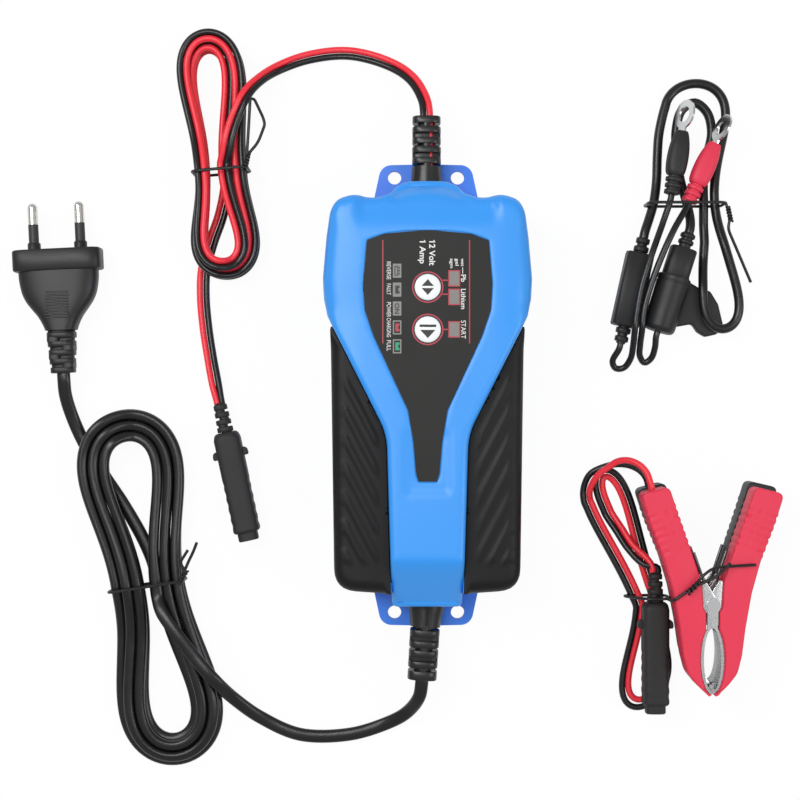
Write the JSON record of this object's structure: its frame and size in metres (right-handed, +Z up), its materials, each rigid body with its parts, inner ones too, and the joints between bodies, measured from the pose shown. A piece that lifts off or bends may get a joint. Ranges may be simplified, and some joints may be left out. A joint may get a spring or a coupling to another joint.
{
  "type": "car battery charger",
  "caption": "Flat two-tone car battery charger with fixed mains and output leads, a clamp lead and a ring terminal lead.",
  "frame": {"origin": "centre of the underside of the charger's housing, on the bench", "axes": "+Y along the housing from the mains lead to the output lead, +Z up through the fascia, +X to the right of the fascia"},
  "size_m": [0.3051, 0.2949, 0.0436],
  "materials": {
    "top_blue": "satin sky blue ABS",
    "base_blue": "satin royal blue ABS",
    "panel_black": "soft-touch black with fine diagonal ridges",
    "label_grey": "charcoal label with a fine matte grain",
    "lens_grey": "smoked clear windows",
    "button_white": "glossy white",
    "flex_black": "soft black PVC",
    "wire_red": "satin red PVC",
    "plug_black": "moulded black PVC",
    "clamp_red": "glossy red",
    "clamp_black": "glossy black",
    "zinc": "bright zinc plate",
    "nickel": "nickel plate",
    "spring_steel": "oiled spring steel",
    "board_green": "solder mask",
    "part_black": "moulded component body",
    "ferrite": "sintered ferrite",
    "copper": "enamelled copper wire",
    "aluminium": "plain extruded aluminium",
    "gasket_grey": "foamed rubber cord"
  },
  "bodies": {
    "charger": {"bottom_shell": "base_blue", "top_shell": "top_blue", "left_side_panel": "panel_black", "right_side_panel": "panel_black", "fascia_label": "label_grey", "housing_gasket": "gasket_grey", "light_lenses": "lens_grey", "self_tapping_screws": "zinc", "mains_strain_relief": "plug_black", "output_strain_relief": "plug_black", "main_board": "board_green", "control_board": "board_green", "board_link": "part_black", "transformer_core": "ferrite", "transformer_winding": "copper", "mains_capacitor": "part_black", "output_capacitors": "part_black", "heat_sink": "aluminium", "power_transistors": "part_black", "bridge_rectifier": "part_black", "filter_choke": "copper", "board_fuse": "nickel", "controller_chips": "part_black", "indicator_leds": "lens_grey", "switch_bodies": "part_black", "mains_lead": "flex_black", "mains_lead_hank": "flex_black", "mains_lead_tail": "flex_black", "mains_plug": "plug_black", "plug_pins": "nickel", "output_lead": "wire_red", "output_lead_hank": "wire_red", "output_lead_tail": "flex_black", "output_connector": "plug_black", "clamp_connector": "plug_black", "clamp_lead": "wire_red", "clamp_lead_hank": "wire_red", "red_clamp_fixed_grip": "clamp_red", "red_clamp_fixed_jaw": "zinc", "red_clamp_rivet": "nickel", "red_clamp_spring": "spring_steel", "black_clamp_fixed_grip": "clamp_black", "black_clamp_fixed_jaw": "zinc", "black_clamp_rivet": "nickel", "black_clamp_spring": "spring_steel", "eyelet_connector": "plug_black", "eyelet_lead": "flex_black", "eyelet_lead_hank": "flex_black", "fuse_holder": "plug_black", "eyelet_boots": "plug_black", "eyelet_terminals": "nickel", "lead_ties": "flex_black"},
    "mode_key": {"mode_button": "button_white", "mode_switch_plunger": "part_black"},
    "start_key": {"start_button": "button_white", "start_switch_plunger": "part_black"},
    "red_clamp_half": {"red_clamp_moving_grip": "clamp_red", "red_clamp_moving_jaw": "zinc"},
    "black_clamp_half": {"black_clamp_moving_grip": "clamp_black", "black_clamp_moving_jaw": "zinc"}
  },
  "joints": [
    {"name": "mode_button_press", "type": "slide", "parent": "charger", "child": "mode_key", "axis": [0, 0, -1], "range_m": [0, 0.0005], "stiffness_N_per_m": 1200, "springref_m": -0.0005},
    {"name": "start_button_press", "type": "slide", "parent": "charger", "child": "start_key", "axis": [0, 0, -1], "range_m": [0, 0.0005], "stiffness_N_per_m": 1200, "springref_m": -0.0005},
    {"name": "red_clamp_open", "type": "hinge", "parent": "charger", "child": "red_clamp_half", "pos_m": [0.1114, -0.0818, 0.0192], "axis": [0, 0, 1], "range_deg": [0, 30], "stiffness_Nm_per_rad": 0.6, "springref_deg": -20.05, "deforming": ["red_clamp_spring"]},
    {"name": "black_clamp_open", "type": "hinge", "parent": "charger", "child": "black_clamp_half", "pos_m": [0.1126, -0.0805, 0.0063], "axis": [0, 0, 1], "range_deg": [0, 30], "stiffness_Nm_per_rad": 0.6, "springref_deg": -20.05, "deforming": ["black_clamp_spring"]}
  ]
}
